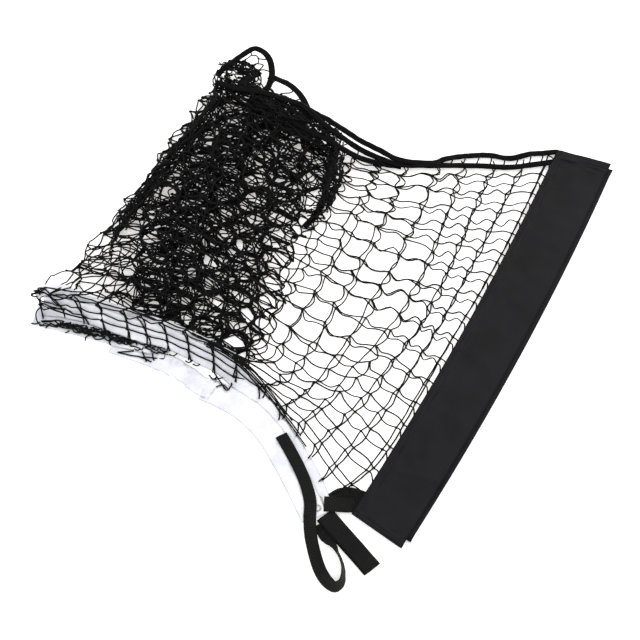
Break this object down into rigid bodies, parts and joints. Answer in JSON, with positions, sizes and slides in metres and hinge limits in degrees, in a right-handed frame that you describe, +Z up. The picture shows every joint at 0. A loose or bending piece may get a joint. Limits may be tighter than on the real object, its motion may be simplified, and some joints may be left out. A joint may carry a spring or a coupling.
{
  "type": "portable tennis net",
  "caption": "Portable junior tennis net folded for storage: black square mesh, white headband, pole sleeves and webbing straps.",
  "frame": {"origin": "on the floor, at the middle of the folded net's outline", "axes": "+Z up; +X from the gathered pile towards the pole sleeves; +Y from the straps towards the bottom tape"},
  "size_m": [0.9852, 1.0169, 0.045],
  "materials": {
    "net_twine": "matte twisted twine",
    "headband_cloth": "matte coated cloth",
    "bottom_tape": "satin binding tape",
    "sleeve_cloth": "soft sheen coated nylon",
    "seam_binding": "woven binding",
    "webbing": "ribbed woven webbing",
    "eyelet_metal": "dull plated"
  },
  "bodies": {
    "net": {"netting_lower_layer": "net_twine", "netting_upper_layer": "net_twine", "netting_gathered_pile": "net_twine", "headband_top_run_b": "headband_cloth", "headband_end_run_a": "headband_cloth", "headband_lower_run": "headband_cloth", "headband_third_run": "headband_cloth", "headband_inner_runs": "headband_cloth", "headband_crumpled_fold": "headband_cloth", "headband_left_fold": "headband_cloth", "eyelet_a": "eyelet_metal", "eyelet_b": "eyelet_metal", "bottom_tape_upper": "bottom_tape", "bottom_tape_lower": "bottom_tape", "bottom_tape_loop_1": "bottom_tape", "bottom_tape_loop_2": "bottom_tape", "bottom_tape_loop_3": "bottom_tape", "bottom_tape_low_strand": "bottom_tape", "bottom_tape_curl": "bottom_tape", "connector_strap_a": "webbing", "connector_strap_b": "webbing", "long_strap_loop": "webbing"},
    "sleeve_b": {"sleeve_b_front_panel": "sleeve_cloth", "sleeve_b_back_panel": "sleeve_cloth", "sleeve_b_outer_fold": "sleeve_cloth", "sleeve_b_seam_binding": "seam_binding"},
    "sleeve_a": {"sleeve_a_front_panel": "sleeve_cloth", "sleeve_a_back_panel": "sleeve_cloth", "sleeve_a_outer_fold": "sleeve_cloth", "sleeve_a_seam_binding": "seam_binding"},
    "tail_strap_lower": {"tail_strap_lower": "webbing"},
    "tail_strap_upper": {"tail_strap_upper": "webbing"},
    "long_strap_end": {"long_strap_free_end": "webbing"}
  },
  "joints": [
    {"name": "sleeve_b_lift", "type": "hinge", "parent": "net", "child": "sleeve_b", "pos_m": [0.22735, -0.03023, 0.0032], "axis": [-0.4676, -0.8839, 0], "range_deg": [0, 30]},
    {"name": "sleeve_a_lift", "type": "hinge", "parent": "sleeve_b", "child": "sleeve_a", "pos_m": [0.21836, -0.03226, 0.0101], "axis": [-0.4676, -0.8839, 0], "range_deg": [0, 120]},
    {"name": "tail_strap_lower_lift", "type": "hinge", "parent": "net", "child": "tail_strap_lower", "pos_m": [-0.001, -0.381, 0.0032], "axis": [-0.7802, -0.6255, 0], "range_deg": [0, 45]},
    {"name": "tail_strap_upper_lift", "type": "hinge", "parent": "tail_strap_lower", "child": "tail_strap_upper", "pos_m": [-0.001, -0.381, 0.0053], "axis": [-0.7802, -0.6255, 0], "range_deg": [0, 45]},
    {"name": "long_strap_end_lift", "type": "hinge", "parent": "net", "child": "long_strap_end", "pos_m": [-0.029, -0.38, 0.0082], "axis": [0.9971, 0.0767, 0], "range_deg": [0, 110]}
  ]
}
